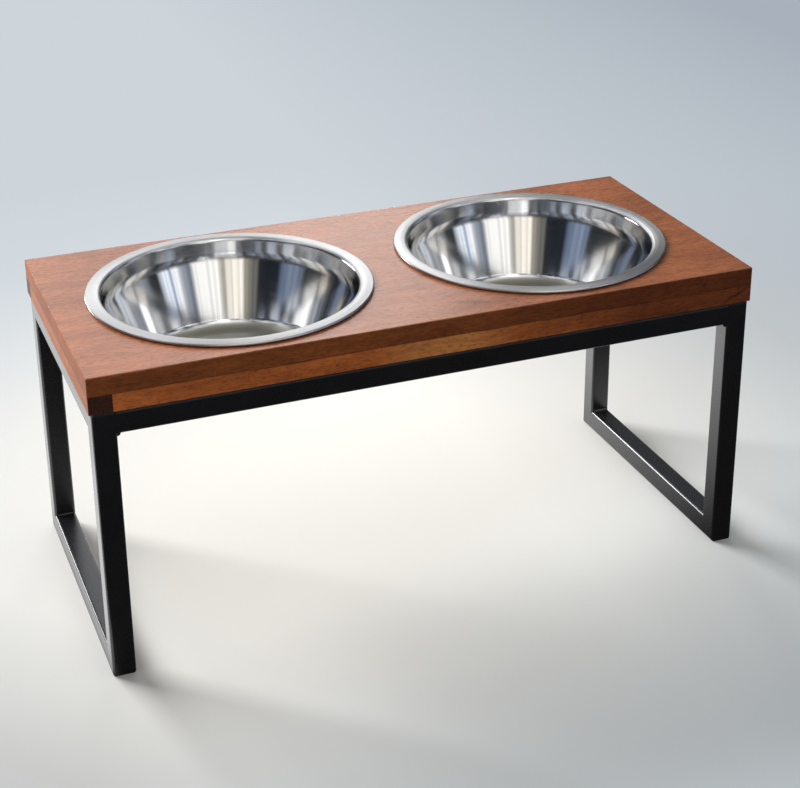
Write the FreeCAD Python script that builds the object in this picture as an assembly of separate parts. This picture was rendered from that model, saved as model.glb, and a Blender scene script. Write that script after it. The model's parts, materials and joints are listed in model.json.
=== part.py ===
import FreeCAD, Part
import math
import os

# Raised feeding station for a dog: a wooden top on a welded frame of square steel tube, with two
# stainless steel bowls that hang by their rims in round holes and lift straight out.
#
# Millimetres, +Z up. The origin is on the floor below the middle of the top, +X runs along the
# top to the right and +Y runs to the back.

# Bowls: spun steel sheet with a rolled rim, a short steep neck, a tapering wall and a flat base
BOWL_RIM_DIAMETER = 252.0
BOWL_RIM_WIDTH = 13.5
BOWL_RIM_EDGE_HEIGHT = 2.6
BOWL_RIM_CROWN = 0.5
BOWL_CROWN_BEND = 12.0
BOWL_CURL_TUCK = 1.6
BOWL_LIP_RADIUS = 3.5
BOWL_NECK_DEPTH = 16.0
BOWL_NECK_TAPER = 0.8
BOWL_NECK_BEND = 30.0
BOWL_WALL_TAPER_DEGREES = 22.0
BOWL_DEPTH = 77.0
BOWL_FLOOR_BEND = 12.0
BOWL_STEP_INSET = 18.0
BOWL_STEP_HEIGHT = 1.5
BOWL_STEP_BEND = 1.0
BOWL_SHEET = 0.8
BOWL_SEAT_GAP = 0.3

# Top: a solid panel, thickened along its edges by four strips glued below it
BOWL_GAP = 36.0
TOP_END_MARGIN = 30.0
TOP_SIDE_MARGIN = 9.0
PANEL_THICKNESS = 16.5
STRIP_THICKNESS = 16.0
STRIP_BOWL_CLEARANCE = 2.7
HOLE_CLEARANCE = 1.7
WOOD_EDGE_RADIUS = 1.0

# Frame: two mitred side frames joined under the long edges of the top by two rails
FRAME_HEIGHT = 245.5
TUBE_SIZE = 20.0
TUBE_WALL = 1.5
TUBE_CORNER_RADIUS = 2.5
FRAME_END_INSET = 2.0
FRAME_SIDE_INSET = 0.5
WELD_RADIUS = 3.0
SEAM_INSET = 0.5

# Screws: driven up through the rails, with the heads inside the tube
SCREW_DIAMETER = 4.0
SCREW_CLEARANCE = 0.05
SCREW_POINT = 4.0
SCREW_TIP_COVER = 7.5
SCREW_END_DISTANCE = 80.0
HEAD_DIAMETER = 8.0
HEAD_HEIGHT = 3.0
HEAD_EDGE_RADIUS = 1.5
RECESS_WIDTH = 1.2
RECESS_SPAN = 4.4
RECESS_DEPTH = 1.6
ACCESS_HOLE_CLEARANCE = 0.75
RAIL_HOLE_CLEARANCE = 0.25

# Sizes that follow from the ones above
RIM_RADIUS = BOWL_RIM_DIAMETER / 2
NECK_RADIUS = RIM_RADIUS - BOWL_RIM_WIDTH + BOWL_SHEET
BOWL_CENTRE_X = RIM_RADIUS + BOWL_GAP / 2
HOLE_RADIUS = NECK_RADIUS + HOLE_CLEARANCE
TOP_LENGTH = 2 * (BOWL_CENTRE_X + RIM_RADIUS + TOP_END_MARGIN)
TOP_WIDTH = 2 * (RIM_RADIUS + TOP_SIDE_MARGIN)
PANEL_BOTTOM = FRAME_HEIGHT + STRIP_THICKNESS
TOP_HEIGHT = PANEL_BOTTOM + PANEL_THICKNESS
WALL_SLOPE = math.tan(math.radians(BOWL_WALL_TAPER_DEGREES))
WALL_TOP_RADIUS = NECK_RADIUS - BOWL_NECK_TAPER
WALL_RADIUS_AT_STRIPS = WALL_TOP_RADIUS - WALL_SLOPE * max(PANEL_THICKNESS - BOWL_NECK_DEPTH, 0)
STRIP_WIDTH = TOP_WIDTH / 2 - WALL_RADIUS_AT_STRIPS - STRIP_BOWL_CLEARANCE
FRAME_LENGTH = TOP_LENGTH - 2 * FRAME_END_INSET
FRAME_DEPTH = TOP_WIDTH - 2 * FRAME_SIDE_INSET
SIDE_FRAME_X = (FRAME_LENGTH - TUBE_SIZE) / 2
RAIL_Y = (FRAME_DEPTH - TUBE_SIZE) / 2
RAIL_LENGTH = FRAME_LENGTH - 2 * TUBE_SIZE
RAIL_BOTTOM = FRAME_HEIGHT - TUBE_SIZE
WELD_LENGTH = TUBE_SIZE - 2 * TUBE_CORNER_RADIUS
SCREW_LENGTH = TUBE_WALL + STRIP_THICKNESS + PANEL_THICKNESS - SCREW_TIP_COVER

X_AXIS = FreeCAD.Vector(1, 0, 0)
Y_AXIS = FreeCAD.Vector(0, 1, 0)
Z_AXIS = FreeCAD.Vector(0, 0, 1)
ORIGIN = FreeCAD.Vector(0, 0, 0)
SHORTEST_EDGE = 1e-6


def corner_arc(before, corner, after, radius):
    """Arc of the given radius that rounds a corner, with its two tangent points."""
    inward = (before - corner).normalize()
    outward = (after - corner).normalize()
    half_angle = inward.getAngle(outward) / 2
    bisector = (inward + outward).normalize()
    start = corner + inward * (radius / math.tan(half_angle))
    end = corner + outward * (radius / math.tan(half_angle))
    middle = corner + bisector * (radius / math.sin(half_angle) - radius)
    return start, end, Part.Arc(start, middle, end).toShape()


def rounded_wire(corners, closed=False):
    """Wire through (point, radius) corners, each rounded by its radius."""
    points = [point for point, radius in corners]
    count = len(points)
    pieces = []
    for i, (point, radius) in enumerate(corners):
        at_end = not closed and i in (0, count - 1)
        if at_end or radius == 0:
            pieces.append((point, point, None))
        else:
            pieces.append(corner_arc(points[i - 1], point, points[(i + 1) % count], radius))
    edges = []
    for i, (start, end, arc) in enumerate(pieces):
        if arc:
            edges.append(arc)
        if i == count - 1 and not closed:
            break
        next_start = pieces[(i + 1) % count][0]
        if end.distanceToPoint(next_start) > SHORTEST_EDGE:
            edges.append(Part.makeLine(end, next_start))
    return Part.Wire(edges)


def rounded_square(size, radius):
    """Face of a square about the origin in the XY plane, with rounded corners."""
    half = size / 2
    signs = [(-1, -1), (1, -1), (1, 1), (-1, 1)]
    corners = [(FreeCAD.Vector(x * half, y * half, 0), radius) for x, y in signs]
    return Part.Face(rounded_wire(corners, closed=True))


def square_tube(start, direction, length):
    """Straight square tube from the middle of one end."""
    inner_radius = max(TUBE_CORNER_RADIUS - TUBE_WALL, 0)
    outer = rounded_square(TUBE_SIZE, TUBE_CORNER_RADIUS)
    bore = rounded_square(TUBE_SIZE - 2 * TUBE_WALL, inner_radius)
    tube = outer.cut(bore).extrude(Z_AXIS * length)
    tube.Placement = FreeCAD.Placement(start, FreeCAD.Rotation(Z_AXIS, direction))
    return tube


def box(low, high):
    """Box between two corners."""
    size = FreeCAD.Vector(*high) - FreeCAD.Vector(*low)
    return Part.makeBox(size.x, size.y, size.z, FreeCAD.Vector(*low))


def outline_slab(bottom, thickness, rounded_level):
    """Slab of the top's full outline, rounded at its corners and at the edges of one level."""
    half_length = TOP_LENGTH / 2
    half_width = TOP_WIDTH / 2
    slab = box((-half_length, -half_width, bottom), (half_length, half_width, bottom + thickness))
    rounded = []
    for edge in slab.Edges:
        low, high = edge.BoundBox.ZMin, edge.BoundBox.ZMax
        upright = high - low > thickness / 2
        if upright or abs(low - rounded_level) < SHORTEST_EDGE:
            rounded.append(edge)
    return slab.makeFillet(WOOD_EDGE_RADIUS, rounded)


def screw_places():
    """Middle of each screw's seat on the upper wall inside the rails."""
    end_x = RAIL_LENGTH / 2 - SCREW_END_DISTANCE
    seat = FRAME_HEIGHT - TUBE_WALL
    return [FreeCAD.Vector(x, side * RAIL_Y, seat) for side in (-1, 1) for x in (-end_x, 0, end_x)]


def drill(shape, diameter, depth):
    """Shape with a hole of the given depth at each screw, measured up from the screw's seat."""
    for place in screw_places():
        shape = shape.cut(Part.makeCylinder(diameter / 2, depth, place, Z_AXIS))
    return shape


def drill_wood(shape):
    """Shape with the screws' pilot holes."""
    return drill(shape, SCREW_DIAMETER + 2 * SCREW_CLEARANCE, SCREW_LENGTH + SCREW_CLEARANCE)


def make_top_panel():
    panel = outline_slab(PANEL_BOTTOM, PANEL_THICKNESS, TOP_HEIGHT)
    for side in (-1, 1):
        below = FreeCAD.Vector(side * BOWL_CENTRE_X, 0, PANEL_BOTTOM)
        panel = panel.cut(Part.makeCylinder(HOLE_RADIUS, PANEL_THICKNESS, below, Z_AXIS))
    return drill_wood(panel)


def make_edge_strips():
    """Four strips that follow each other round the edge, each butted against the next one's side."""
    slab = outline_slab(FRAME_HEIGHT, STRIP_THICKNESS, FRAME_HEIGHT)
    x, y = TOP_LENGTH / 2, TOP_WIDTH / 2
    inner_x, inner_y = x - STRIP_WIDTH, y - STRIP_WIDTH
    plans = {
        "left_edge_strip": (-x, -y, -inner_x, inner_y),
        "front_edge_strip": (-inner_x, -y, x, -inner_y),
        "right_edge_strip": (inner_x, -inner_y, x, y),
        "back_edge_strip": (-x, inner_y, inner_x, y),
    }
    strips = {}
    for name, (x0, y0, x1, y1) in plans.items():
        blank = box((x0, y0, FRAME_HEIGHT), (x1, y1, PANEL_BOTTOM))
        strips[name] = drill_wood(slab.common(blank))
    return strips


def make_rail(side):
    """Long rail under the front (-1) or back (1) edge, butted between the side frames."""
    start = FreeCAD.Vector(-RAIL_LENGTH / 2, side * RAIL_Y, FRAME_HEIGHT - TUBE_SIZE / 2)
    tube = square_tube(start, X_AXIS, RAIL_LENGTH)
    rail = drill(tube, SCREW_DIAMETER + 2 * RAIL_HOLE_CLEARANCE, TUBE_WALL)
    access_radius = HEAD_DIAMETER / 2 + ACCESS_HOLE_CLEARANCE
    for place in screw_places():
        below = FreeCAD.Vector(place.x, place.y, RAIL_BOTTOM)
        rail = rail.cut(Part.makeCylinder(access_radius, TUBE_WALL, below, Z_AXIS))
    return rail


def mitred(tube, corners):
    """Part of a side frame's tube inside a (y, z) outline, whose slanted sides are the mitres."""
    reach = TOP_LENGTH
    points = [FreeCAD.Vector(-reach, y, z) for y, z in corners]
    outline = Part.Face(Part.makePolygon(points + points[:1]))
    return tube.common(outline.extrude(X_AXIS * 2 * reach))


def make_side_frame(side):
    """Closed frame of two legs, a floor runner and a cross rail, on the left (-1) or right (1)."""
    name = "left" if side < 0 else "right"
    x = side * SIDE_FRAME_X
    half_tube = TUBE_SIZE / 2
    front, back = -FRAME_DEPTH / 2, FRAME_DEPTH / 2
    inner_front, inner_back = front + TUBE_SIZE, back - TUBE_SIZE
    runner = square_tube(FreeCAD.Vector(x, front, half_tube), Y_AXIS, FRAME_DEPTH)
    cross_rail = square_tube(FreeCAD.Vector(x, front, FRAME_HEIGHT - half_tube), Y_AXIS, FRAME_DEPTH)
    front_leg = square_tube(FreeCAD.Vector(x, front + half_tube, 0), Z_AXIS, FRAME_HEIGHT)
    back_leg = square_tube(FreeCAD.Vector(x, back - half_tube, 0), Z_AXIS, FRAME_HEIGHT)
    foot_line = [(front, 0), (back, 0), (inner_back, TUBE_SIZE), (inner_front, TUBE_SIZE)]
    head_line = [(y, FRAME_HEIGHT - z) for y, z in foot_line]
    front_line = [foot_line[0], head_line[0], head_line[3], foot_line[3]]
    back_line = [foot_line[1], head_line[1], head_line[2], foot_line[2]]
    return {
        name + "_runner": mitred(runner, foot_line),
        name + "_cross_rail": mitred(cross_rail, head_line),
        "front_" + name + "_leg": mitred(front_leg, front_line),
        "back_" + name + "_leg": mitred(back_leg, back_line),
    }


def weld_bead(middle, along, into_x, into_y, into_z):
    """Quarter-round bead in an inner corner, which lies on the given sides of the corner line."""
    start = middle - along * (WELD_LENGTH / 2)
    bead = Part.makeCylinder(WELD_RADIUS, WELD_LENGTH, start, along)
    room = FreeCAD.Vector(into_x, into_y, into_z) * (2 * WELD_RADIUS)
    span = along * WELD_LENGTH
    far = start + room + span
    low = [min(a, b) for a, b in zip(start, far)]
    high = [max(a, b) for a, b in zip(start, far)]
    return bead.common(box(low, high))


def make_side_frame_welds():
    """Beads across the four inner corners of both side frames."""
    corner_y = FRAME_DEPTH / 2 - TUBE_SIZE
    beads = []
    for side in (-1, 1):
        for end in (-1, 1):
            for z, up in ((TUBE_SIZE, 1), (RAIL_BOTTOM, -1)):
                middle = FreeCAD.Vector(side * SIDE_FRAME_X, end * corner_y, z)
                beads.append(weld_bead(middle, X_AXIS, 0, -end, up))
    return Part.makeCompound(beads)


def flush_seam(end, side):
    """Weld ground flush in the groove where a rail's outer face meets a leg's rounded corner."""
    corner = FreeCAD.Vector(end * RAIL_LENGTH / 2, side * FRAME_DEPTH / 2, RAIL_BOTTOM + TUBE_CORNER_RADIUS)
    reach = TUBE_CORNER_RADIUS - SEAM_INSET
    far = corner + FreeCAD.Vector(end * reach, -side * reach, WELD_LENGTH)
    low = [min(a, b) for a, b in zip(corner, far)]
    high = [max(a, b) for a, b in zip(corner, far)]
    bend_centre = corner + FreeCAD.Vector(end, -side, 0) * TUBE_CORNER_RADIUS
    leg_corner = Part.makeCylinder(TUBE_CORNER_RADIUS, WELD_LENGTH, bend_centre, Z_AXIS)
    return box(low, high).cut(leg_corner)


def make_rail_welds():
    """Beads below and behind each end of the long rails, and a flush seam on its outer face."""
    corner_x = RAIL_LENGTH / 2
    rail_inside = FRAME_DEPTH / 2 - TUBE_SIZE
    beads = []
    for side in (-1, 1):
        for end in (-1, 1):
            below = FreeCAD.Vector(end * corner_x, side * RAIL_Y, RAIL_BOTTOM)
            behind = FreeCAD.Vector(end * corner_x, side * rail_inside, FRAME_HEIGHT - TUBE_SIZE / 2)
            beads.append(weld_bead(below, Y_AXIS, -end, 0, -1))
            beads.append(weld_bead(behind, Z_AXIS, -end, -side, 0))
            beads.append(flush_seam(end, side))
    return Part.makeCompound(beads)


def make_screw():
    """Pan-head wood screw that points up, with the underside of its head at the origin."""
    head_radius = HEAD_DIAMETER / 2
    radius = SCREW_DIAMETER / 2
    outline = [
        ((0, -HEAD_HEIGHT), 0),
        ((head_radius, -HEAD_HEIGHT), HEAD_EDGE_RADIUS),
        ((head_radius, 0), 0),
        ((radius, 0), 0),
        ((radius, SCREW_LENGTH - SCREW_POINT), 0),
        ((0, SCREW_LENGTH), 0),
    ]
    corners = [(FreeCAD.Vector(r, 0, z), bend) for (r, z), bend in outline]
    screw = Part.Face(rounded_wire(corners, closed=True)).revolve(ORIGIN, Z_AXIS, 360)
    half_span, half_width = RECESS_SPAN / 2, RECESS_WIDTH / 2
    recess_top = RECESS_DEPTH - HEAD_HEIGHT
    for x, y in ((half_span, half_width), (half_width, half_span)):
        screw = screw.cut(box((-x, -y, -HEAD_HEIGHT), (x, y, recess_top)))
    return screw


def make_top_screws():
    screw = make_screw()
    return Part.makeCompound([screw.translated(place) for place in screw_places()])


def make_bowl(side):
    """Bowl on the left (-1) or right (1), from the middle line of its sheet."""
    half = BOWL_SHEET / 2
    edge_radius = RIM_RADIUS - half
    edge_low, edge_high = half, BOWL_RIM_EDGE_HEIGHT - half
    curl_radius = (edge_high - edge_low) / 2
    neck = NECK_RADIUS - half
    neck_bottom = WALL_TOP_RADIUS - half
    floor = half - BOWL_DEPTH
    wall_drop = -BOWL_NECK_DEPTH - floor
    floor_radius = neck_bottom - wall_drop * WALL_SLOPE
    step = floor_radius - BOWL_STEP_INSET
    crown_radius = (edge_radius + neck) / 2
    line = [
        ((edge_radius - BOWL_CURL_TUCK, edge_low), 0),
        ((edge_radius, edge_low), curl_radius),
        ((edge_radius, edge_high), curl_radius),
        ((crown_radius, edge_high + BOWL_RIM_CROWN), BOWL_CROWN_BEND),
        ((neck, edge_high), BOWL_LIP_RADIUS),
        ((neck_bottom, -BOWL_NECK_DEPTH), BOWL_NECK_BEND),
        ((floor_radius, floor), BOWL_FLOOR_BEND),
        ((step, floor), BOWL_STEP_BEND),
        ((step - BOWL_STEP_HEIGHT, floor + BOWL_STEP_HEIGHT), BOWL_STEP_BEND),
        ((-BOWL_SHEET, floor + BOWL_STEP_HEIGHT), 0),
    ]
    corners = [(FreeCAD.Vector(r, 0, z), bend) for (r, z), bend in line]
    sheet = Part.Face(rounded_wire(corners).makeOffset2D(half))
    half_plane = box((0, -half, -BOWL_DEPTH), (RIM_RADIUS, half, BOWL_DEPTH))
    bowl = sheet.common(half_plane).revolve(ORIGIN, Z_AXIS, 360)
    return bowl.translated(FreeCAD.Vector(side * BOWL_CENTRE_X, 0, TOP_HEIGHT + BOWL_SEAT_GAP))


nodes = {
    "top_panel": make_top_panel(),
    **make_edge_strips(),
    "front_rail": make_rail(-1),
    "back_rail": make_rail(1),
    **make_side_frame(-1),
    **make_side_frame(1),
    "side_frame_welds": make_side_frame_welds(),
    "rail_welds": make_rail_welds(),
    "top_screws": make_top_screws(),
    "left_bowl": make_bowl(-1),
    "right_bowl": make_bowl(1),
}

os.makedirs("parts", exist_ok=True)
for name, shape in nodes.items():
    shape.exportStep(os.path.join("parts", name + ".step"))
    print(name, len(shape.Solids), "solids,", round(shape.Volume), "mm3, valid", shape.isValid())
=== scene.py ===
"""Looks of a raised dog feeding station: oiled hardwood, powder-coated tube and spun steel bowls."""
import json
import math

import bpy
from bpy.props import FloatProperty, FloatVectorProperty, PointerProperty
from mathutils import Matrix, Vector


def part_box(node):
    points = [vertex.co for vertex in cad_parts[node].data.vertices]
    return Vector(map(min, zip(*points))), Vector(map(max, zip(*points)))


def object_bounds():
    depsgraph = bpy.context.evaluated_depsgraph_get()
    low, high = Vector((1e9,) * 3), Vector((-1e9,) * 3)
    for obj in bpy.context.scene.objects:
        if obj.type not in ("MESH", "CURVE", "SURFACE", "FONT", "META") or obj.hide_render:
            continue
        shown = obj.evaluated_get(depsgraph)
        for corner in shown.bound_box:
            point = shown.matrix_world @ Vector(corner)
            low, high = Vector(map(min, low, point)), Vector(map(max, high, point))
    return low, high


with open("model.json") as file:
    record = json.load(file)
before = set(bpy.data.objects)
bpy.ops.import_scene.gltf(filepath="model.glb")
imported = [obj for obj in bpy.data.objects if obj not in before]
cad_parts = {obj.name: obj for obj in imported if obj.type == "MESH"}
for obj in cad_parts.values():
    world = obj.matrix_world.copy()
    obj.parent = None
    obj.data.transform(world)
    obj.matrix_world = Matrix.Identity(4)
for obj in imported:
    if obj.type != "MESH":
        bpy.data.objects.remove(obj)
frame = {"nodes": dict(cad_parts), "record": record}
CAD_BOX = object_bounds()

bl_info = {
    "name": "Dog Feeding Station Looks",
    "version": (1, 0, 0),
    "blender": (4, 5, 0),
    "location": "View3D > Sidebar > Feeding Station",
    "description": "Finishes a raised feeding station in hardwood, powder coat and stainless steel",
    "category": "Material",
}

MM = 0.001
SENSOR_WIDTH = 36.0

# Tall light panels and dark gaps of the room, which show only in glossy surfaces: from and to, in
# degrees from the back round each side to the front, with their colour and brightness
LEFT_PANELS = [
    (0, 15, "#ffffff", 0.40),
    (30, 52, "#c8ccd4", 0.25),
    (58, 73, "#98a4b8", 0.08),
    (84, 89, "#7c8898", 0.15),
    (94, 105, "#b8ccee", 0.72),
    (110, 113, "#98acd0", 0.70),
    (117, 128, "#6c7c98", 0.10),
    (133, 136, "#70747c", 0.15),
    (139, 143, "#a8a8a0", 0.60),
    (147, 150, "#c4bcac", 1.00),
    (154, 159, "#fff8ec", 1.80),
    (163, 168, "#fff8ec", 1.50),
    (170, 172, "#c8c2b4", 1.00),
    (176, 180, "#fffdf8", 1.75),
]
RIGHT_PANELS = [
    (0, 24, "#ffffff", 0.40),
    (27, 45, "#e8ecf0", 0.22),
    (58, 66, "#9cb0d0", 0.15),
    (70, 79, "#dce9ff", 1.10),
    (82, 91, "#90a0bc", 0.14),
    (95, 104, "#e2edff", 1.70),
    (116, 124, "#8c94a0", 0.15),
    (128, 135, "#ecf4ff", 1.80),
    (137, 138, "#a8b8d8", 1.20),
    (140, 145, "#f8fbff", 1.80),
    (148, 150, "#c4ccd8", 1.10),
    (153, 157, "#a8b0c4", 0.80),
    (162, 180, "#fffefa", 1.75),
]
PANEL_GAIN = 0.84
HALF_TURN = 180

# Windows above the panels: direction, reach and brightness
WINDOWS = [
    ((-0.07, -0.78, 0.62), 0.14, 3.2),
    ((0.47, -0.75, 0.47), 0.12, 2.2),
    ((-0.87, 0.17, 0.46), 0.12, 1.4),
]

# Zones of the room from bottom to top, as the upward part of a direction: start and full effect.
# The dark foot of the walls is higher at the sides.
WALL_FOOT = (0.20, 0.04)
SIDE_FOOT_RISE = 0.11
UPPER_WALL = (0.44, 0.56)
CEILING = (0.62, 0.70)
OVERHEAD = (0.86, 0.93)

# Lamps, none of which the camera sees: name, width and height, power in watts, place, target, and the
# other rays that a lamp is hidden from.
# A low key lamp stands behind the station on the left, three low lamps draw light lines on edges, and
# two panels give the wood its sheen.
STATION_MIDDLE = (0, 0, 0.2)
LAMPS = [
    ("key_lamp", (3.6, 2.8), 520.0, (-2.9, 4.6, 3.0), STATION_MIDDLE, "visible_glossy"),
    ("left_edge_lamp", (0.62, 0.24), 2.6, (-0.92, 1.0, 0.16), (-0.29, 0, 0.02), "visible_diffuse"),
    ("top_edge_lamp", (0.5, 0.10), 3.6, (-0.79, 1.1, 0.34), (-0.3, 0, 0.28), "visible_diffuse"),
    ("right_edge_lamp", (0.26, 0.12), 2.6, (0.08, 0.33, 0.20), (0.28, 0, 0.03), "visible_diffuse"),
    ("left_sheen_panel", (1.1, 1.2), 5.2, (-0.05, 2.1, 1.25), STATION_MIDDLE, None),
    ("right_sheen_panel", (0.5, 1.2), 4.6, (0.72, 2.1, 1.25), STATION_MIDDLE, None),
]

# Floor: its radius, the number of its sides, the middle of its painted pool of light, and the directions
# to its painted dim front left, to the key lamp and to the painted skylight
FLOOR_RADIUS = 9.0
FLOOR_SIDES = 96
PAINTED_LIGHT_MIDDLE = (0.02, 0.02, 0)
TO_FRONT_LEFT = (-0.75, -0.66, 0)
TO_KEY_LAMP = (-0.6, 0.8, 0)
TO_SKYLIGHT = (0.5, -0.85, 0)
# Glossy surfaces also see the floor glow, as painted light for reflections: a bright patch behind the
# station, and a bright strip that starts at the station's left end.
PATCH_MIDDLE = (0.12, 0.42, 0)
PATCH_REACH = 0.55
STRIP_START = (-0.29, -0.31)
STRIP_MIDDLE = 0.02
STRIP_REACH = 0.22

# Wood: how far the grain sways, the length of its bands, the size of pale and dark clouds, the length
# of its fibres, and how long the glue line runs before it fades
SWAY_LENGTH = 60 * MM
SWAY_REACH = 24 * MM
BAND_LENGTH = 110 * MM
CLOUD_SIZE = 70 * MM
FIBRE_LENGTH = 10 * MM
GLUE_RUN = 45 * MM
# Fibres of 0.3 mm and pores of 0.2 mm are drawn this wide, because finer ones don't show.
FIBRE_WIDTH = 1.8 * MM
PORE_WIDTH = 1.4 * MM
# Knots have an outline with teeth of this size that wander this far.
KNOT_TOOTH = 5 * MM
KNOT_WANDER = (7 * MM, 7 * MM, 4 * MM)
# A surface faces an axis where that part of its normal is larger than this.
FACING = 0.7
# How much smoother worn edges are, on wood and on powder coat, and how much duller sawn ends are
WOOD_WEAR = 0.15
COAT_WEAR = 0.16
SAWN_DULLNESS = 0.4

# Settings of a Mix node that multiplies a colour by a tone
MULTIPLY = {"data_type": "RGBA", "blend_type": "MULTIPLY"}

# Slopes of a bowl's inside from the lip down to the floor: depth below the top of the rim in
# millimetres, and the upward part of the normal there. They hold between two radii in millimetres.
BOWL_SLOPES = [(0.2, 0.997), (3.9, 0.044), (13.9, 0.044), (23.8, 0.375), (72.2, 0.375), (79.3, 1.0)]
BOWL_SLOPE_RANGE = 80.0
BOWL_SLOPE_RADII = (79.5, 116.0)


def srgb(code):
    """Linear colour, with full alpha, of an sRGB hex code such as #a0522d."""
    parts = [int(code[i:i + 2], 16) / 255 for i in (1, 3, 5)]
    linear = [c / 12.92 if c <= 0.04045 else ((c + 0.055) / 1.055) ** 2.4 for c in parts]
    return (*linear, 1.0)


def grey(value):
    """Neutral linear colour of the given value."""
    return (value, value, value, 1.0)


def add_node(tree, kind, inputs=None, stops=None, give=None, **settings):
    """Adds a shader node with its settings and links, and returns one of its outputs."""
    node = tree.nodes.new("ShaderNode" + kind)
    for name, value in settings.items():
        setattr(node, name, value)
    shown = [socket for socket in node.inputs if socket.enabled]
    for key, value in (inputs or {}).items():
        socket = shown[key] if isinstance(key, int) else next(s for s in shown if s.name == key)
        if isinstance(value, bpy.types.NodeSocket):
            tree.links.new(value, socket)
        else:
            socket.default_value = value
    for i, (position, colour) in enumerate(stops or []):
        elements = node.color_ramp.elements
        element = elements[i] if i < len(elements) else elements.new(position)
        element.position = position
        element.color = colour
    return next(s for s in node.outputs if s.enabled and give in (None, s.name))


def new_material(name):
    """Empty material of that name, with its node tree and its main shader."""
    material = bpy.data.materials.new(name)
    material.use_nodes = True
    return material, material.node_tree, material.node_tree.nodes["Principled BSDF"]


def dress(node, material):
    """Gives a CAD node its finish."""
    frame["nodes"][node].material_slots[0].material = material


class WoodSettings(bpy.types.PropertyGroup):
    """Oiled hardwood of the top."""

    face_colour: FloatVectorProperty(
        name="Face", description="Main colour of the panel's face",
        subtype="COLOR", size=4, min=0, max=1, default=srgb("#a4623c"))
    # The light end is painted light. The dark end is partly the wood's own tone and partly painted shade.
    face_painted_light_colour: FloatVectorProperty(
        name="Face, light end", description="Colour of the panel's face at its light end",
        subtype="COLOR", size=4, min=0, max=1, default=srgb("#ac6740"))
    face_dark_and_shaded_colour: FloatVectorProperty(
        name="Face, dark end", description="Colour of the panel's face at its dark end",
        subtype="COLOR", size=4, min=0, max=1, default=srgb("#9b5b36"))
    # The panel's long edges are painted shade: a darker, more saturated copy of the face, darker still at
    # the right end, where the wood's own tone darkens too. The panel's ends take the same colour as end
    # grain.
    edge_shade_and_end_grain_colour: FloatVectorProperty(
        name="Panel edge", description="Colour of the panel's long edges",
        subtype="COLOR", size=4, min=0, max=1, default=srgb("#934c18"))
    edge_shade_dark_end_colour: FloatVectorProperty(
        name="Panel edge, dark end", description="Colour of the panel's long edges at their dark end",
        subtype="COLOR", size=4, min=0, max=1, default=srgb("#73360c"))
    strip_colour: FloatVectorProperty(
        name="Strip", description="Main colour of the edge strips",
        subtype="COLOR", size=4, min=0, max=1, default=srgb("#c86a2a"))
    strip_light_colour: FloatVectorProperty(
        name="Strip, light part", description="Colour of the pale middle of the front strip",
        subtype="COLOR", size=4, min=0, max=1, default=srgb("#e69048"))
    # The front strip's dark end is partly the wood's own tone and partly painted shade.
    strip_dark_end_and_shade_colour: FloatVectorProperty(
        name="Strip, dark end", description="Colour of the front strip at its dark end",
        subtype="COLOR", size=4, min=0, max=1, default=srgb("#864012"))
    end_colour: FloatVectorProperty(
        name="End grain", description="Colour of the open end grain of a strip",
        subtype="COLOR", size=4, min=0, max=1, default=srgb("#4a281a"))
    knot_colour: FloatVectorProperty(
        name="Knots and pores", description="Colour of knots, streaks, pores and glue lines",
        subtype="COLOR", size=4, min=0, max=1, default=srgb("#4a2213"))
    band_width: FloatProperty(
        name="Growth band width", description="Usual width of a growth band on the surface",
        unit="LENGTH", default=9 * MM)
    pore_length: FloatProperty(
        name="Pore length", description="Usual length of an open pore along the grain",
        unit="LENGTH", default=4 * MM)
    roughness: FloatProperty(
        name="Roughness", description="Roughness of the oiled surface",
        subtype="FACTOR", min=0, max=1, default=0.28)


class CoatSettings(bpy.types.PropertyGroup):
    """Powder coat of the tube frame."""

    colour: FloatVectorProperty(
        name="Coat colour", description="Colour of the baked powder coat",
        subtype="COLOR", size=4, min=0, max=1, default=srgb("#1f1f22"))
    worn_colour: FloatVectorProperty(
        name="Worn edges", description="Colour of the coat where handling has polished its edges",
        subtype="COLOR", size=4, min=0, max=1, default=srgb("#2c2c2e"))
    peel_size: FloatProperty(
        name="Orange peel", description="Width of the coat's small waves",
        unit="LENGTH", default=1.2 * MM)
    roughness: FloatProperty(
        name="Roughness", description="Roughness of the satin coat",
        subtype="FACTOR", min=0, max=1, default=0.26)


class SteelSettings(bpy.types.PropertyGroup):
    """Spun stainless steel of the bowls."""

    colour: FloatVectorProperty(
        name="Steel colour", description="Reflection colour of the bare stainless steel",
        subtype="COLOR", size=4, min=0, max=1, default=srgb("#dadada"))
    brush_spacing: FloatProperty(
        name="Brush line spacing", description="Distance between the brush lines round the bowl",
        unit="LENGTH", default=0.7 * MM)
    rim_colour: FloatVectorProperty(
        name="Rim colour", description="Reflection colour of the satin rim",
        subtype="COLOR", size=4, min=0, max=1, default=srgb("#c2c2c2"))
    floor_colour: FloatVectorProperty(
        name="Floor colour", description="Reflection colour of the duller floor of a bowl",
        subtype="COLOR", size=4, min=0, max=1, default=srgb("#a09e92"))
    roughness: FloatProperty(
        name="Wall roughness", description="Roughness of the polished walls",
        subtype="FACTOR", min=0, max=1, default=0.11)
    rim_roughness: FloatProperty(
        name="Rim roughness", description="Roughness of the satin rim and of the floor",
        subtype="FACTOR", min=0, max=1, default=0.36)
    rim_width: FloatProperty(
        name="Rim width", description="Width of the satin rim",
        unit="LENGTH", default=13 * MM)
    anisotropy: FloatProperty(
        name="Anisotropy", description="How far the brush lines stretch reflections across them",
        subtype="FACTOR", min=0, max=1, default=0.85)


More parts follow.
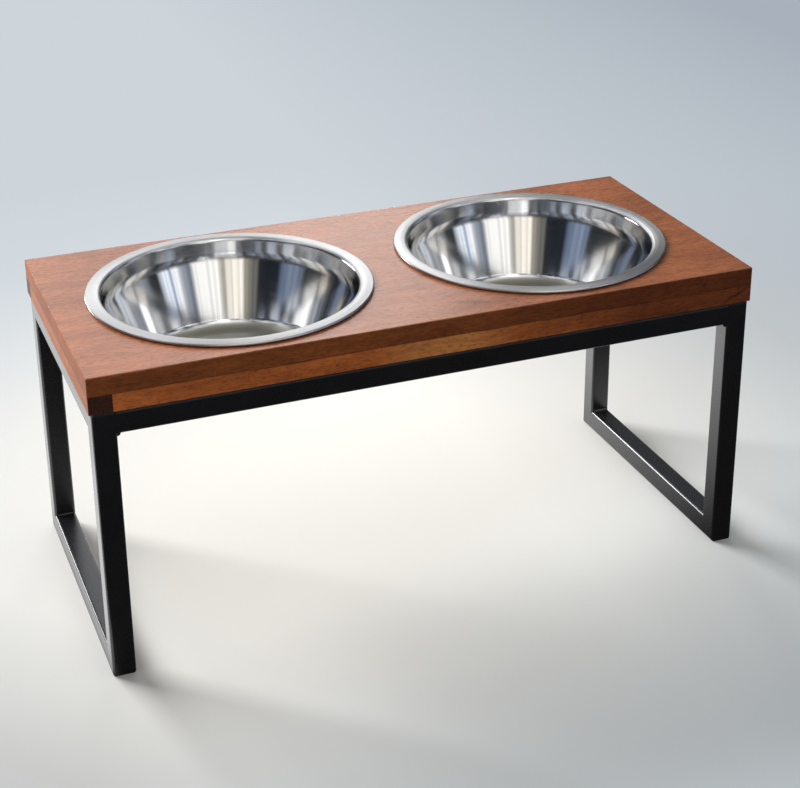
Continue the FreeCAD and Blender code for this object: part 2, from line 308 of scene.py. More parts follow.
class StageSettings(bpy.types.PropertyGroup):
    """Floor, studio light and camera."""

    floor_colour: FloatVectorProperty(
        name="Floor", description="Colour of the floor round the station",
        subtype="COLOR", size=4, min=0, max=1, default=srgb("#f4f2ec"))
    backdrop_colour: FloatVectorProperty(
        name="Backdrop", description="Colour that the floor fades to far away",
        subtype="COLOR", size=4, min=0, max=1, default=srgb("#cdd4da"))
    shade_colour: FloatVectorProperty(
        name="Shaded backdrop", description="Colour of the backdrop on the right, away from the light",
        subtype="COLOR", size=4, min=0, max=1, default=srgb("#a9b2bc"))
    camera_place: FloatVectorProperty(
        name="Camera place", description="Where the camera stands",
        subtype="TRANSLATION", unit="LENGTH", default=(-0.5037, -1.3400, 0.8577))
    camera_azimuth: FloatProperty(
        name="Camera azimuth", description="Turn of the view from the back to the right",
        subtype="ANGLE", default=math.radians(20.731))
    camera_drop: FloatProperty(
        name="Camera drop", description="How far the view points below level",
        subtype="ANGLE", default=math.radians(22.599))
    camera_roll: FloatProperty(
        name="Camera roll", description="Turn of the picture about the view's axis",
        subtype="ANGLE", default=math.radians(0.689))
    camera_lens: FloatProperty(
        name="Lens", description="Focal length in millimetres on a 36 mm wide sensor", default=77.076)
    camera_shift: FloatVectorProperty(
        name="Lens shift", description="Sideways and upright shift, in picture widths",
        size=2, default=(0.015, -0.1425))


def worn_edges(tree):
    """Mask of the rounded edges, whose normal lies along none of the three axes."""
    normal = add_node(tree, "TexCoord", give="Normal")
    normal = add_node(tree, "VectorMath", {0: normal}, operation="ABSOLUTE")
    x, y, z = add_node(tree, "SeparateXYZ", {"Vector": normal}).node.outputs
    largest = add_node(tree, "Math", {0: x, 1: y}, operation="MAXIMUM")
    largest = add_node(tree, "Math", {0: largest, 1: z}, operation="MAXIMUM")
    return add_node(tree, "MapRange", {"Value": largest, "From Min": 0.98, "From Max": 0.85})


def oiled_hardwood(name, wood, face, side, end, turn=0.0, offset=(0.0, 0.0, 0.0), marks=()):
    """Reddish hardwood, planed, sanded and oiled: faint growth bands, fine dark pores, satin sheen.

    face and side give the colour along the board, from its left end to its right end. A mark has a
    place in millimetres, turns in degrees, half lengths in millimetres and a strength.
    """
    material, tree, shader = new_material(name)
    at = add_node(tree, "TexCoord", give="Object")
    place = add_node(tree, "Mapping", {"Vector": at, "Location": offset, "Rotation": (0, 0, turn)})
    sway = add_node(
        tree, "TexNoise", {"Vector": place, "Scale": 1 / SWAY_LENGTH, "Detail": 2.0}, give="Color")
    grain = add_node(
        tree, "VectorMath", {0: sway, 1: (0, SWAY_REACH, SWAY_REACH), 2: place}, operation="MULTIPLY_ADD")

    # Colour of the board on its faces, its long sides and its ends. The ramps along the board carry the
    # wood's own tone and can carry painted light and painted shade.
    x, y, z = add_node(tree, "SeparateXYZ", {"Vector": at}).node.outputs
    along = add_node(tree, "MapRange", {"Value": x, "From Min": CAD_BOX[0].x, "From Max": CAD_BOX[1].x})
    face_colour = add_node(tree, "ValToRGB", {"Fac": along}, stops=face)
    side_colour = add_node(tree, "ValToRGB", {"Fac": along}, stops=side)
    normal = add_node(tree, "TexCoord", give="Normal")
    turned = add_node(tree, "Mapping", {"Vector": normal, "Rotation": (0, 0, turn)})
    turned = add_node(tree, "VectorMath", {0: turned}, operation="ABSOLUTE")
    to_end, to_side = add_node(tree, "SeparateXYZ", {"Vector": turned}).node.outputs[:2]
    on_side = add_node(tree, "Math", {0: to_side, 1: FACING}, operation="GREATER_THAN")
    on_end = add_node(tree, "Math", {0: to_end, 1: FACING}, operation="GREATER_THAN")
    colour = add_node(
        tree, "Mix", {"Factor": on_side, "A": face_colour, "B": side_colour}, data_type="RGBA")
    colour = add_node(tree, "Mix", {"Factor": on_end, "A": colour, "B": end}, data_type="RGBA")

    width = wood.band_width
    band_place = add_node(
        tree, "VectorMath", {0: grain, 1: (1 / BAND_LENGTH, 1 / width, 1 / width)}, operation="MULTIPLY")
    bands = add_node(
        tree, "TexNoise", {"Vector": band_place, "Scale": 1.0, "Detail": 3.0, "Roughness": 0.65})
    band_tone = add_node(
        tree, "ValToRGB", {"Fac": bands},
        stops=[(0.28, (0.76, 0.71, 0.66, 1.0)), (0.72, (1.20, 1.22, 1.24, 1.0))])
    colour = add_node(tree, "Mix", {"Factor": 1.0, "A": colour, "B": band_tone}, **MULTIPLY)
    cloud = add_node(tree, "TexNoise", {"Vector": place, "Scale": 1 / CLOUD_SIZE, "Detail": 2.0})
    cloud = add_node(
        tree, "MapRange",
        {"Value": cloud, "From Min": 0.3, "From Max": 0.7, "To Min": 0.86, "To Max": 1.14})
    colour = add_node(tree, "Mix", {"Factor": 1.0, "A": colour, "B": cloud}, **MULTIPLY)

    # Fine fibres, lighter and darker
    fibre_place = add_node(
        tree, "VectorMath", {0: grain, 1: (1 / FIBRE_LENGTH, 1 / FIBRE_WIDTH, 1 / FIBRE_WIDTH)},
        operation="MULTIPLY")
    fibres = add_node(tree, "TexNoise", {"Vector": fibre_place, "Scale": 1.0, "Detail": 2.0})
    fibre_tone = add_node(
        tree, "ValToRGB", {"Fac": fibres}, stops=[(0.3, grey(0.83)), (0.7, grey(1.17))])
    colour = add_node(tree, "Mix", {"Factor": 1.0, "A": colour, "B": fibre_tone}, **MULTIPLY)

    # Pores: short dark dashes
    pore_place = add_node(
        tree, "VectorMath", {0: grain, 1: (1 / wood.pore_length, 1 / PORE_WIDTH, 1 / PORE_WIDTH)},
        operation="MULTIPLY")
    pores = add_node(tree, "TexNoise", {"Vector": pore_place, "Scale": 1.0, "Detail": 0.0})
    pore_mask = add_node(
        tree, "ValToRGB", {"Fac": pores}, stops=[(0.57, grey(0.0)), (0.78, grey(0.38))])
    colour = add_node(
        tree, "Mix", {"Factor": pore_mask, "A": colour, "B": wood.knot_colour}, data_type="RGBA")

    # Knots and streaks: ovals with a ragged outline
    ragged = add_node(
        tree, "TexNoise", {"Vector": at, "Scale": 1 / KNOT_TOOTH, "Detail": 3.0}, give="Color")
    ragged = add_node(tree, "VectorMath", {0: ragged, 1: (0.5, 0.5, 0.5)}, operation="SUBTRACT")
    ragged = add_node(
        tree, "VectorMath", {0: ragged, 1: KNOT_WANDER, 2: at}, operation="MULTIPLY_ADD")
    for middle, tilt, reach, strength in marks:
        oval = add_node(
            tree, "Mapping",
            {"Vector": ragged, "Location": [c * MM for c in middle],
             "Rotation": [math.radians(a) for a in tilt], "Scale": [c * MM for c in reach]},
            vector_type="TEXTURE")
        inside = add_node(tree, "VectorMath", {0: oval}, operation="LENGTH", give="Value")
        inside = add_node(
            tree, "MapRange", {"Value": inside, "From Min": 1.0, "From Max": 0.3, "To Max": strength})
        colour = add_node(
            tree, "Mix", {"Factor": inside, "A": colour, "B": wood.knot_colour}, data_type="RGBA")

    # A dark glue line below the panel, which comes and goes
    from_glue = add_node(tree, "Math", {0: z, 1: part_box("top_panel")[0].z}, operation="SUBTRACT")
    from_glue = add_node(tree, "Math", {0: from_glue}, operation="ABSOLUTE")
    glue = add_node(tree, "MapRange", {"Value": from_glue, "From Min": 0.9 * MM, "From Max": 0.3 * MM})
    runs = add_node(tree, "TexNoise", {"Vector": place, "Scale": 1 / GLUE_RUN, "Detail": 1.0})
    runs = add_node(
        tree, "MapRange",
        {"Value": runs, "From Min": 0.45, "From Max": 0.6, "To Min": 0.2, "To Max": 0.8})
    glue = add_node(tree, "Math", {0: glue, 1: runs}, operation="MULTIPLY")
    colour = add_node(
        tree, "Mix", {"Factor": glue, "A": colour, "B": wood.knot_colour}, data_type="RGBA")

    # Edges are lighter and smoother: partly wear from handling, partly a painted highlight on the rounded
    # arrises.
    edges = worn_edges(tree)
    edges = add_node(tree, "Math", {0: edges, 1: runs}, operation="MULTIPLY")
    rubbed_and_highlit = add_node(tree, "Mix", {"Factor": 1.0, "A": colour, "B": grey(1.25)}, **MULTIPLY)
    colour = add_node(tree, "Mix", {"Factor": edges, "A": colour, "B": rubbed_and_highlit}, data_type="RGBA")

    tree.links.new(colour, shader.inputs["Base Color"])
    shader.inputs["Specular IOR Level"].default_value = 0.5
    rough = add_node(
        tree, "MapRange",
        {"Value": fibres, "To Min": wood.roughness - 0.06, "To Max": wood.roughness + 0.06})
    rough = add_node(tree, "Math", {0: edges, 1: -WOOD_WEAR, 2: rough}, operation="MULTIPLY_ADD")
    # The short ends of the top are sawn, so they are duller.
    facing = add_node(tree, "VectorMath", {0: normal}, operation="ABSOLUTE")
    facing = add_node(tree, "SeparateXYZ", {"Vector": facing}, give="X")
    sawn = add_node(tree, "Math", {0: facing, 1: FACING}, operation="GREATER_THAN")
    rough = add_node(tree, "Math", {0: sawn, 1: SAWN_DULLNESS, 2: rough}, operation="MULTIPLY_ADD")
    tree.links.new(rough, shader.inputs["Roughness"])
    relief = add_node(tree, "Math", {0: fibres, 1: pore_mask}, operation="SUBTRACT")
    bump = add_node(tree, "Bump", {"Strength": 0.5, "Distance": 0.25 * MM, "Height": relief})
    tree.links.new(bump, shader.inputs["Normal"])
    return material


def satin_powder_coat(coat):
    """Black powder, sprayed and baked on: a deep satin black with faint orange peel."""
    material, tree, shader = new_material("satin_black_powder_coat")
    at = add_node(tree, "TexCoord", give="Object")
    peel = add_node(tree, "TexNoise", {"Vector": at, "Scale": 1 / coat.peel_size, "Detail": 2.0})
    shade = add_node(tree, "TexNoise", {"Vector": at, "Scale": 1 / (40 * MM), "Detail": 3.0})
    dull = tuple(0.7 * c for c in coat.colour[:3]) + (1.0,)
    colour = add_node(tree, "ValToRGB", {"Fac": shade}, stops=[(0.3, dull), (0.7, coat.colour)])
    edges = add_node(tree, "Math", {0: worn_edges(tree), 1: shade}, operation="MULTIPLY")
    colour = add_node(
        tree, "Mix", {"Factor": edges, "A": colour, "B": coat.worn_colour}, data_type="RGBA")
    tree.links.new(colour, shader.inputs["Base Color"])
    shader.inputs["Specular IOR Level"].default_value = 0.5
    rough = add_node(
        tree, "MapRange",
        {"Value": peel, "To Min": coat.roughness - 0.05, "To Max": coat.roughness + 0.05})
    # Handling has polished the edges, and the seam below the wood is dusty.
    rough = add_node(tree, "Math", {0: edges, 1: -COAT_WEAR, 2: rough}, operation="MULTIPLY_ADD")
    z = add_node(tree, "SeparateXYZ", {"Vector": at}, give="Z")
    seam_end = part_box("front_rail")[1].z
    seam = add_node(
        tree, "MapRange",
        {"Value": z, "From Min": seam_end - 3 * MM, "From Max": seam_end - 1 * MM, "To Max": 0.5})
    rough = add_node(tree, "Math", {0: rough, 1: seam}, operation="ADD")
    tree.links.new(rough, shader.inputs["Roughness"])
    bump = add_node(tree, "Bump", {"Strength": 0.15, "Distance": 0.1 * MM, "Height": peel})
    tree.links.new(bump, shader.inputs["Normal"])
    return material


def lathe_normal(tree, x, y, z, radius, rim_top):
    """Exact normal of a bowl's lip and wall, because the mesh's facets show as teeth in reflections."""
    depth = add_node(
        tree, "MapRange", {"Value": z, "From Min": rim_top, "From Max": rim_top - BOWL_SLOPE_RANGE * MM})
    rise = add_node(
        tree, "ValToRGB", {"Fac": depth},
        stops=[(below / BOWL_SLOPE_RANGE, grey(upward)) for below, upward in BOWL_SLOPES])
    level = add_node(tree, "Math", {0: rise, 1: rise}, operation="MULTIPLY")
    level = add_node(tree, "Math", {0: 1.0, 1: level}, operation="SUBTRACT")
    level = add_node(tree, "Math", {0: level}, operation="SQRT")
    outward = add_node(tree, "CombineXYZ", {"X": x, "Y": y})
    outward = add_node(tree, "VectorMath", {0: outward}, operation="NORMALIZE")
    outward = add_node(tree, "VectorMath", {0: outward, "Scale": level}, operation="SCALE")
    upward = add_node(tree, "CombineXYZ", {"Z": rise})
    exact = add_node(tree, "VectorMath", {0: upward, 1: outward}, operation="SUBTRACT")
    mesh_normal = add_node(tree, "TexCoord", give="Normal")
    side = add_node(
        tree, "VectorMath", {0: mesh_normal, 1: exact}, operation="DOT_PRODUCT", give="Value")
    side = add_node(tree, "Math", {0: side}, operation="SIGN")
    exact = add_node(tree, "VectorMath", {0: exact, "Scale": side}, operation="SCALE")
    inner, outer = BOWL_SLOPE_RADII
    on_wall = add_node(
        tree, "Math", {0: radius, 1: (inner + outer) / 2 * MM, 2: (outer - inner) / 2 * MM},
        operation="COMPARE")
    return add_node(
        tree, "Mix", {"Factor": on_wall, "A": mesh_normal, "B": exact}, data_type="VECTOR")


def spun_steel(name, steel, low, high):
    """Stainless steel, spun on a lathe: polished walls that smear reflections, satin rim and floor."""
    centre = (low + high) / 2
    material, tree, shader = new_material(name)
    shader.inputs["Metallic"].default_value = 1.0
    shader.inputs["Anisotropic"].default_value = steel.anisotropy
    shader.inputs["Anisotropic Rotation"].default_value = 0.25
    round_axis = add_node(tree, "Tangent", direction_type="RADIAL", axis="Z")
    tree.links.new(round_axis, shader.inputs["Tangent"])
    at = add_node(tree, "TexCoord", give="Object")
    from_axis = add_node(tree, "VectorMath", {0: at, 1: (centre.x, centre.y, 0)}, operation="SUBTRACT")
    x, y, z = add_node(tree, "SeparateXYZ", {"Vector": from_axis}).node.outputs
    radius = add_node(tree, "Math", {0: x, 1: x}, operation="MULTIPLY")
    radius = add_node(tree, "Math", {0: y, 1: y, 2: radius}, operation="MULTIPLY_ADD")
    radius = add_node(tree, "Math", {0: radius}, operation="SQRT")
    angle = add_node(tree, "Math", {0: y, 1: x}, operation="ARCTAN2")
    angle = add_node(tree, "Math", {0: angle, 1: 6 * steel.brush_spacing}, operation="MULTIPLY")
    lathe_place = add_node(tree, "CombineXYZ", {"X": radius, "Y": angle, "Z": z})
    lines = add_node(
        tree, "TexNoise", {"Vector": lathe_place, "Scale": 1 / steel.brush_spacing, "Detail": 2.0})
    rim_start = (high.x - low.x) / 2 - steel.rim_width
    on_rim = add_node(
        tree, "MapRange",
        {"Value": radius, "From Min": rim_start - 1 * MM, "From Max": rim_start + 1 * MM})
    on_floor = add_node(
        tree, "MapRange", {"Value": z, "From Min": low.z + 7 * MM, "From Max": low.z + 2 * MM})
    colour = add_node(
        tree, "Mix", {"Factor": on_floor, "A": steel.colour, "B": steel.floor_colour}, data_type="RGBA")
    colour = add_node(
        tree, "Mix", {"Factor": on_rim, "A": colour, "B": steel.rim_colour}, data_type="RGBA")
    tree.links.new(colour, shader.inputs["Base Color"])
    satin = add_node(tree, "Math", {0: on_rim, 1: on_floor}, operation="MAXIMUM")
    rough = add_node(
        tree, "MapRange", {"Value": satin, "To Min": steel.roughness, "To Max": steel.rim_roughness})
    uneven = add_node(tree, "MapRange", {"Value": lines, "To Min": -0.05, "To Max": 0.05})
    rough = add_node(tree, "Math", {0: rough, 1: uneven}, operation="ADD")
    tree.links.new(rough, shader.inputs["Roughness"])
    normal = lathe_normal(tree, x, y, z, radius, high.z)
    bump = add_node(
        tree, "Bump", {"Strength": 0.05, "Distance": 0.05 * MM, "Height": lines, "Normal": normal})
    tree.links.new(bump, shader.inputs["Normal"])
    return material


def zinc_plate():
    """Steel screws, electroplated with zinc: bright grey with a faint mottle."""
    material, tree, shader = new_material("bright_zinc_plate")
    shader.inputs["Metallic"].default_value = 1.0
    at = add_node(tree, "TexCoord", give="Object")
    mottle = add_node(tree, "TexNoise", {"Vector": at, "Scale": 1 / (0.8 * MM), "Detail": 3.0})
    colour = add_node(
        tree, "ValToRGB", {"Fac": mottle}, stops=[(0.3, srgb("#b4b7ba")), (0.7, srgb("#cfd1d2"))])
    tree.links.new(colour, shader.inputs["Base Color"])
    rough = add_node(tree, "MapRange", {"Value": mottle, "To Min": 0.25, "To Max": 0.4})
    tree.links.new(rough, shader.inputs["Roughness"])
    bump = add_node(tree, "Bump", {"Strength": 0.1, "Distance": 0.05 * MM, "Height": mottle})
    tree.links.new(bump, shader.inputs["Normal"])
    return material


def paper_floor(stage):
    """Matt studio paper with painted light: a painted pool of light near white below the station, cooler
    and greyer round it and far away, and a painted glow that glossy surfaces see.
    """
    material, tree, shader = new_material("matt_studio_paper")
    at = add_node(tree, "TexCoord", give="Object")
    x, y, z = add_node(tree, "SeparateXYZ", {"Vector": at}).node.outputs
    away = add_node(tree, "VectorMath", {0: at, 1: PAINTED_LIGHT_MIDDLE}, operation="DISTANCE", give="Value")
    # Painted pool of light: the paper is near white round its middle and turns to the backdrop colour
    # further out.
    tone = add_node(
        tree, "ValToRGB", {"Fac": away},
        stops=[(0.25, stage.floor_colour), (0.85, stage.backdrop_colour)])
    # Painted shade: the paper's colour darkens to the front left, to the right and towards the lamp
    # behind, where the light falls off.
    lean = add_node(
        tree, "VectorMath", {0: at, 1: TO_FRONT_LEFT}, operation="DOT_PRODUCT", give="Value")
    painted_shade_left = add_node(
        tree, "MapRange",
        {"Value": lean, "From Min": 0.26, "From Max": 0.44, "To Min": 1.0, "To Max": 0.74})
    painted_shade_right = add_node(
        tree, "MapRange", {"Value": x, "From Min": 0.15, "From Max": 0.6, "To Min": 1.0, "To Max": 0.68})
    painted_shade = add_node(tree, "Math", {0: painted_shade_left, 1: painted_shade_right}, operation="MULTIPLY")
    to_lamp = add_node(
        tree, "VectorMath", {0: at, 1: TO_KEY_LAMP}, operation="DOT_PRODUCT", give="Value")
    painted_shade_behind = add_node(
        tree, "MapRange",
        {"Value": to_lamp, "From Min": 0.2, "From Max": 0.8, "To Min": 1.0, "To Max": 0.8})
    painted_shade = add_node(tree, "Math", {0: painted_shade, 1: painted_shade_behind}, operation="MULTIPLY")
    tone = add_node(tree, "Mix", {"Factor": 1.0, "A": tone, "B": painted_shade}, **MULTIPLY)
    # Painted skylight: a cool tint painted on the paper in front on the right.
    to_sky = add_node(
        tree, "VectorMath", {0: at, 1: TO_SKYLIGHT}, operation="DOT_PRODUCT", give="Value")
    tint = add_node(tree, "MapRange", {"Value": to_sky, "From Min": 0.05, "From Max": 0.42})
    painted_skylight = add_node(
        tree, "Mix", {"Factor": tint, "A": grey(1.0), "B": (1.09, 1.16, 1.23, 1.0)}, data_type="RGBA")
    tone = add_node(tree, "Mix", {"Factor": 1.0, "A": tone, "B": painted_skylight}, **MULTIPLY)
    bounce = add_node(tree, "LightPath", give="Is Diffuse Ray")
    colour = add_node(
        tree, "Mix", {"Factor": bounce, "A": tone, "B": srgb("#8a8886")}, data_type="RGBA")
    tree.links.new(colour, shader.inputs["Base Color"])
    shader.inputs["Roughness"].default_value = 0.9
    shader.inputs["Specular IOR Level"].default_value = 0.1

    across = add_node(tree, "MapRange", {"Value": x, "From Min": 0.3, "From Max": 1.4})
    far = add_node(
        tree, "Mix", {"Factor": across, "A": stage.backdrop_colour, "B": stage.shade_colour},
        data_type="RGBA")
    glow = add_node(tree, "Emission", {"Color": far, "Strength": 1.0})
    haze = add_node(tree, "MapRange", {"Value": away, "From Min": 0.45, "From Max": 1.1})
    paper = add_node(tree, "MixShader", {0: haze, 1: shader.outputs["BSDF"], 2: glow})

    # For glossy rays the paper glows though it is no lamp, as painted light for reflections: dim in front
    # of the station, and bright behind it and on its left.
    bright = add_node(
        tree, "MapRange",
        {"Value": y, "From Min": -0.14, "From Max": 0.26, "To Min": 0.05, "To Max": 1.35})
    from_patch = add_node(
        tree, "VectorMath", {0: at, 1: PATCH_MIDDLE}, operation="DISTANCE", give="Value")
    patch = add_node(
        tree, "MapRange",
        {"Value": from_patch, "From Min": PATCH_REACH, "From Max": 0.1, "To Min": 0.0, "To Max": 1.2})
    bright = add_node(tree, "Math", {0: bright, 1: patch}, operation="ADD")
    beside = add_node(
        tree, "MapRange",
        {"Value": x, "From Min": STRIP_START[0], "From Max": STRIP_START[1], "To Max": 1.65})
    level_with = add_node(tree, "Math", {0: y, 1: STRIP_MIDDLE, 2: STRIP_REACH}, operation="COMPARE")
    beside = add_node(tree, "Math", {0: beside, 1: level_with}, operation="MULTIPLY")
    bright = add_node(tree, "Math", {0: bright, 1: beside}, operation="MAXIMUM")
    painted_glossy_glow = add_node(tree, "Emission", {"Color": grey(1.0), "Strength": bright})
    glossy = add_node(tree, "LightPath", give="Is Glossy Ray")
    paper = add_node(tree, "MixShader", {0: glossy, 1: paper, 2: painted_glossy_glow})
    # Sampled as a lamp, the paper would show its dim side in glossy surfaces.
    material.cycles.emission_sampling = "NONE"
    tree.links.new(paper, tree.nodes["Material Output"].inputs["Surface"])
    return material


def studio_world(stage):
    """Soft room light: pale backdrop for the eye, an even glow, and tall bright panels for metal."""
    world = bpy.data.worlds.new("studio_room")
    world.use_nodes = True
    tree = world.node_tree
    direction = add_node(tree, "TexCoord", give="Generated")
    x, y, z = add_node(tree, "SeparateXYZ", {"Vector": direction}).node.outputs
    on_right = add_node(tree, "Math", {0: x, 1: 0.0}, operation="GREATER_THAN")
    aside = add_node(tree, "Math", {0: x}, operation="ABSOLUTE")
    azimuth = add_node(tree, "Math", {0: aside, 1: y}, operation="ARCTAN2")
    turn = add_node(tree, "Math", {0: azimuth, 1: math.pi}, operation="DIVIDE")
    sides = []
    for side in (LEFT_PANELS, RIGHT_PANELS):
        stops = []
        for start, end, code, strength in side:
            colour = tuple(PANEL_GAIN * strength * c for c in srgb(code)[:3]) + (1.0,)
            stops += [(start / HALF_TURN, colour), (end / HALF_TURN, colour)]
        sides.append(add_node(tree, "ValToRGB", {"Fac": turn}, stops=stops))
    panels = add_node(
        tree, "Mix", {"Factor": on_right, "A": sides[0], "B": sides[1]}, data_type="RGBA")
    # Fine upright streaks in the panels
    streaks = add_node(
        tree, "TexNoise", {"W": turn, "Scale": 50.0, "Detail": 3.0}, noise_dimensions="1D")
    streaks = add_node(
        tree, "MapRange",
        {"Value": streaks, "From Min": 0.3, "From Max": 0.7, "To Min": 0.7, "To Max": 1.2})
    panels = add_node(tree, "Mix", {"Factor": 1.0, "A": panels, "B": streaks}, **MULTIPLY)
    # Above the panels the room has blue-grey walls with uneven upright bands and windows.
    around = add_node(tree, "Math", {0: x, 1: y}, operation="ARCTAN2")
    bands = add_node(tree, "TexNoise", {"W": around, "Scale": 7.0, "Detail": 2.0}, noise_dimensions="1D")
    bands = add_node(
        tree, "MapRange",
        {"Value": bands, "From Min": 0.43, "From Max": 0.66, "To Min": 0.04, "To Max": 1.5})
    wall = add_node(tree, "Mix", {"Factor": 1.0, "A": bands, "B": srgb("#aab4c8")}, **MULTIPLY)
    for centre, reach, strength in WINDOWS:
        away = add_node(
            tree, "VectorMath", {0: direction, 1: centre}, operation="DISTANCE", give="Value")
        lit = add_node(tree, "MapRange", {"Value": away, "From Min": reach, "From Max": 0.6 * reach})
        wall = add_node(tree, "Mix", {"Factor": lit, "A": wall, "B": grey(strength)}, data_type="RGBA")
    off_panels = add_node(
        tree, "ValToRGB", {"Fac": z}, stops=[(UPPER_WALL[0], grey(0.0)), (UPPER_WALL[1], grey(1.0))])
    room = add_node(tree, "Mix", {"Factor": off_panels, "A": panels, "B": wall}, data_type="RGBA")
    patches = add_node(tree, "TexNoise", {"Vector": direction, "Scale": 2.5, "Detail": 2.0})
    ceiling = add_node(
        tree, "MapRange",
        {"Value": patches, "From Min": 0.44, "From Max": 0.58, "To Min": 0.05, "To Max": 2.4})
    overhead = add_node(
        tree, "MapRange", {"Value": z, "From Min": OVERHEAD[0], "From Max": OVERHEAD[1]})
    ceiling = add_node(
        tree, "Mix", {"Factor": overhead, "A": ceiling, "B": grey(0.4)}, data_type="RGBA")
    in_ceiling = add_node(
        tree, "MapRange", {"Value": z, "From Min": CEILING[0], "From Max": CEILING[1]})
    room = add_node(
        tree, "Mix", {"Factor": in_ceiling, "A": room, "B": ceiling}, data_type="RGBA")
    # Dark furniture stands along the foot of the walls, higher at the sides.
    low = add_node(tree, "Math", {0: aside, 1: -SIDE_FOOT_RISE, 2: z}, operation="MULTIPLY_ADD")
    near_floor = add_node(
        tree, "MapRange", {"Value": low, "From Min": WALL_FOOT[0], "From Max": WALL_FOOT[1]})
    room = add_node(
        tree, "Mix", {"Factor": near_floor, "A": room, "B": grey(0.04)}, data_type="RGBA")
    fill = add_node(
        tree, "MapRange", {"Value": y, "From Min": -1.0, "From Max": 1.0, "To Min": 0.2, "To Max": 0.6})
    glossy = add_node(tree, "LightPath", give="Is Glossy Ray")
    light = add_node(tree, "Mix", {"Factor": glossy, "A": fill, "B": room}, data_type="RGBA")
    seen = add_node(tree, "LightPath", give="Is Camera Ray")
    light = add_node(
        tree, "Mix", {"Factor": seen, "A": light, "B": stage.backdrop_colour}, data_type="RGBA")
    tree.links.new(light, tree.nodes["Background"].inputs["Color"])
    # Sampled as a light, the room would show its even glow in metal instead of the panels.
    world.cycles.sampling_method = "NONE"
    bpy.context.scene.world = world


def aim(place, target):
    """Matrix of a lamp at a place that shines at the target."""
    turn = (target - place).to_track_quat("-Z", "Y")
    return Matrix.Translation(place) @ turn.to_matrix().to_4x4()


class FEEDER_OT_wooden_top(bpy.types.Operator):
    """Finish the panel and its edge strips in oiled hardwood"""

    bl_idname = "feeder.wooden_top"
    bl_label = "Wooden Top"

    def execute(self, context):
        wood = context.scene.feeder_wood
        # The face's light left end is painted light, and its dark right end is partly the wood's own tone
        # and partly painted shade.
        face = [(0.0, wood.face_painted_light_colour), (0.55, wood.face_colour), (1.0, wood.face_dark_and_shaded_colour)]
        # Painted shade on the panel's long sides, deeper towards the right end
        edge = [(0.0, wood.edge_shade_and_end_grain_colour), (0.58, wood.edge_shade_and_end_grain_colour), (0.78, wood.edge_shade_dark_end_colour)]
        strip = [(0.0, wood.strip_colour), (1.0, wood.strip_colour)]
        # The front strip darkens to its right end, partly the wood's own tone and partly painted shade.
        front = [
            (0.0, wood.strip_colour), (0.40, wood.strip_colour), (0.46, wood.strip_light_colour),
            (0.55, wood.strip_light_colour), (0.62, wood.strip_colour), (0.82, wood.strip_dark_end_and_shade_colour),
        ]
        knots = [
            ((39, -111, 278), (0, 0, -24), (24, 6, 8), 0.5),
            ((41, 94, 278), (0, 0, -56), (9, 4, 8), 0.45),
            ((-10, 117, 278), (0, 0, -10), (16, 3, 8), 0.25),
            ((252, -135, 270), (0, -51, 0), (9, 6, 1.6), 0.6),
        ]
        streak = [((284, -135, 254), (0, -25, 0), (22, 8, 2.2), 0.85)]
        quarter = math.pi / 2
        dress("top_panel", oiled_hardwood(
            "oiled_hardwood_panel", wood, face, edge, wood.edge_shade_and_end_grain_colour, marks=knots))
        dress("front_edge_strip", oiled_hardwood(
            "oiled_hardwood_front", wood, front, front, wood.strip_colour,
            0.0, (0.9, 0.31, 0.2), streak))
        dress("back_edge_strip", oiled_hardwood(
            "oiled_hardwood_back", wood, strip, strip, wood.end_colour, 0.0, (1.7, 0.53, 0.1)))
        dress("left_edge_strip", oiled_hardwood(
            "oiled_hardwood_left", wood, face, face, wood.end_colour, quarter, (0.4, 0.8, 0.3)))
        dress("right_edge_strip", oiled_hardwood(
            "oiled_hardwood_right", wood, face, face, wood.end_colour, quarter, (0.2, 0.1, 0.7)))
        return {"FINISHED"}


class FEEDER_OT_tube_frame(bpy.types.Operator):
    """Finish the welded tube frame in satin black powder coat"""

    bl_idname = "feeder.tube_frame"
    bl_label = "Tube Frame"

    def execute(self, context):
        coat = satin_powder_coat(context.scene.feeder_coat)
        for part in frame["record"]["subparts"]:
            if part["material_slot"] == "frame_powder_coat":
                dress(part["node"], coat)
        return {"FINISHED"}


class FEEDER_OT_bowls(bpy.types.Operator):
    """Finish both bowls in spun stainless steel"""

    bl_idname = "feeder.bowls"
    bl_label = "Bowls"

    def execute(self, context):
        for bowl in ("left_bowl", "right_bowl"):
            low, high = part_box(bowl)
            dress(bowl, spun_steel("spun_steel_" + bowl, context.scene.feeder_steel, low, high))
        return {"FINISHED"}


class FEEDER_OT_screws(bpy.types.Operator):
    """Finish the screws in bright zinc plate"""

    bl_idname = "feeder.screws"
    bl_label = "Screws"

    def execute(self, context):
        dress("top_screws", zinc_plate())
        return {"FINISHED"}


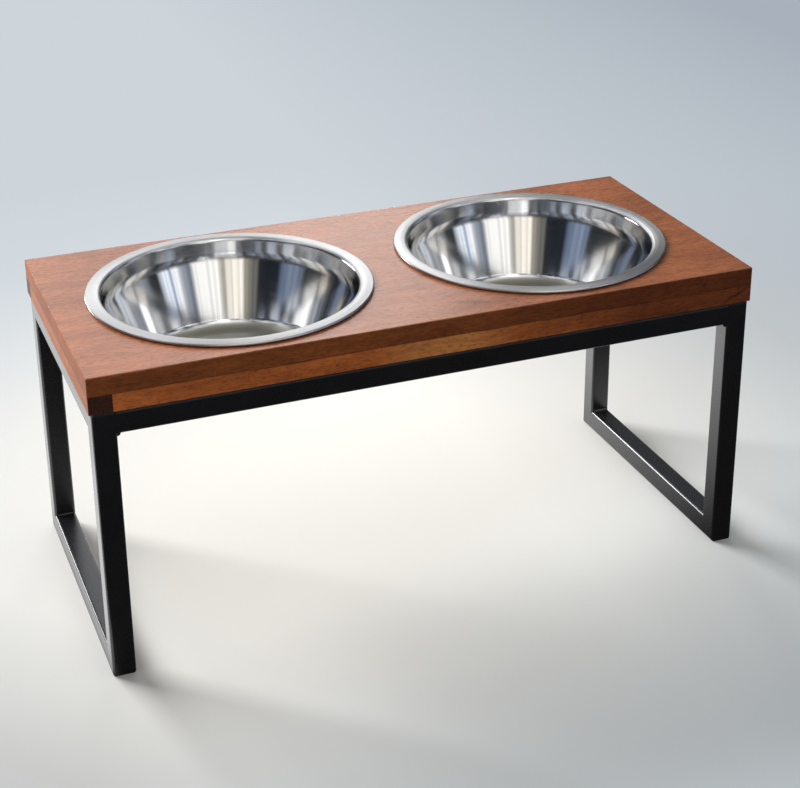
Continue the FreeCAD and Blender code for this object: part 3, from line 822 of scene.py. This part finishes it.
class FEEDER_OT_stage(bpy.types.Operator):
    """Set up the floor, the studio light and the camera"""

    bl_idname = "feeder.stage"
    bl_label = "Stage"

    def execute(self, context):
        stage = context.scene.feeder_stage
        self.lay_floor(context, stage)
        studio_world(stage)
        self.hang_lamps(context)
        self.set_camera(context, stage)
        context.scene.view_settings.view_transform = "Standard"
        return {"FINISHED"}

    def lay_floor(self, context, stage):
        """Round sheet of paper below the station."""
        turns = [2 * math.pi * i / FLOOR_SIDES for i in range(FLOOR_SIDES)]
        ring = [(FLOOR_RADIUS * math.cos(turn), FLOOR_RADIUS * math.sin(turn), 0.0) for turn in turns]
        mesh = bpy.data.meshes.new("studio_floor")
        mesh.from_pydata(ring, [], [range(FLOOR_SIDES)])
        mesh.materials.append(paper_floor(stage))
        floor = bpy.data.objects.new("studio_floor", mesh)
        context.collection.objects.link(floor)

    def hang_lamps(self, context):
        """Rectangular lamps, each pointed at its target and hidden from the camera."""
        for name, (width, height), power, place, target, hidden_from in LAMPS:
            lamp = bpy.data.lights.new(name, "AREA")
            lamp.shape = "RECTANGLE"
            lamp.size = width
            lamp.size_y = height
            lamp.energy = power
            holder = bpy.data.objects.new(name, lamp)
            holder.matrix_world = aim(Vector(place), Vector(target))
            holder.visible_camera = False
            if hidden_from:
                setattr(holder, hidden_from, False)
            context.collection.objects.link(holder)

    def set_camera(self, context, stage):
        """Camera at the photograph's viewing angle."""
        azimuth, drop, roll = stage.camera_azimuth, stage.camera_drop, stage.camera_roll
        level = math.cos(drop)
        ahead = Vector((math.sin(azimuth) * level, math.cos(azimuth) * level, -math.sin(drop)))
        right = ahead.cross(Vector((0, 0, 1))).normalized()
        right = Matrix.Rotation(roll, 3, ahead) @ right
        up = right.cross(ahead)
        turn = Matrix((right, up, -ahead)).transposed().to_4x4()
        data = bpy.data.cameras.new("photo_camera")
        data.sensor_width = SENSOR_WIDTH
        data.lens = stage.camera_lens
        data.shift_x, data.shift_y = stage.camera_shift
        camera = bpy.data.objects.new("photo_camera", data)
        camera.matrix_world = Matrix.Translation(stage.camera_place) @ turn
        context.collection.objects.link(camera)
        context.scene.camera = camera


class FEEDER_PT_looks(bpy.types.Panel):
    """Steps that dress the feeding station"""

    bl_label = "Feeding Station"
    bl_idname = "FEEDER_PT_looks"
    bl_space_type = "VIEW_3D"
    bl_region_type = "UI"
    bl_category = "Feeding Station"

    def draw(self, context):
        for step in STEPS:
            self.layout.operator(step.bl_idname)
        for group in SETTINGS:
            settings = getattr(context.scene, group)
            box = self.layout.box()
            for name in settings.bl_rna.properties.keys():
                if name not in ("rna_type", "name"):
                    box.prop(settings, name)


STEPS = (FEEDER_OT_wooden_top, FEEDER_OT_tube_frame, FEEDER_OT_bowls, FEEDER_OT_screws, FEEDER_OT_stage)
SETTINGS = {
    "feeder_wood": WoodSettings,
    "feeder_coat": CoatSettings,
    "feeder_steel": SteelSettings,
    "feeder_stage": StageSettings,
}


def register():
    for cls in (*SETTINGS.values(), *STEPS, FEEDER_PT_looks):
        bpy.utils.register_class(cls)
    for name, group in SETTINGS.items():
        setattr(bpy.types.Scene, name, PointerProperty(type=group))


def unregister():
    for name in SETTINGS:
        delattr(bpy.types.Scene, name)
    for cls in reversed((*SETTINGS.values(), *STEPS, FEEDER_PT_looks)):
        bpy.utils.unregister_class(cls)


def main():
    register()
    bpy.ops.feeder.wooden_top()
    bpy.ops.feeder.tube_frame()
    bpy.ops.feeder.bowls()
    bpy.ops.feeder.screws()
    bpy.ops.feeder.stage()


if __name__ == "__main__":
    main()
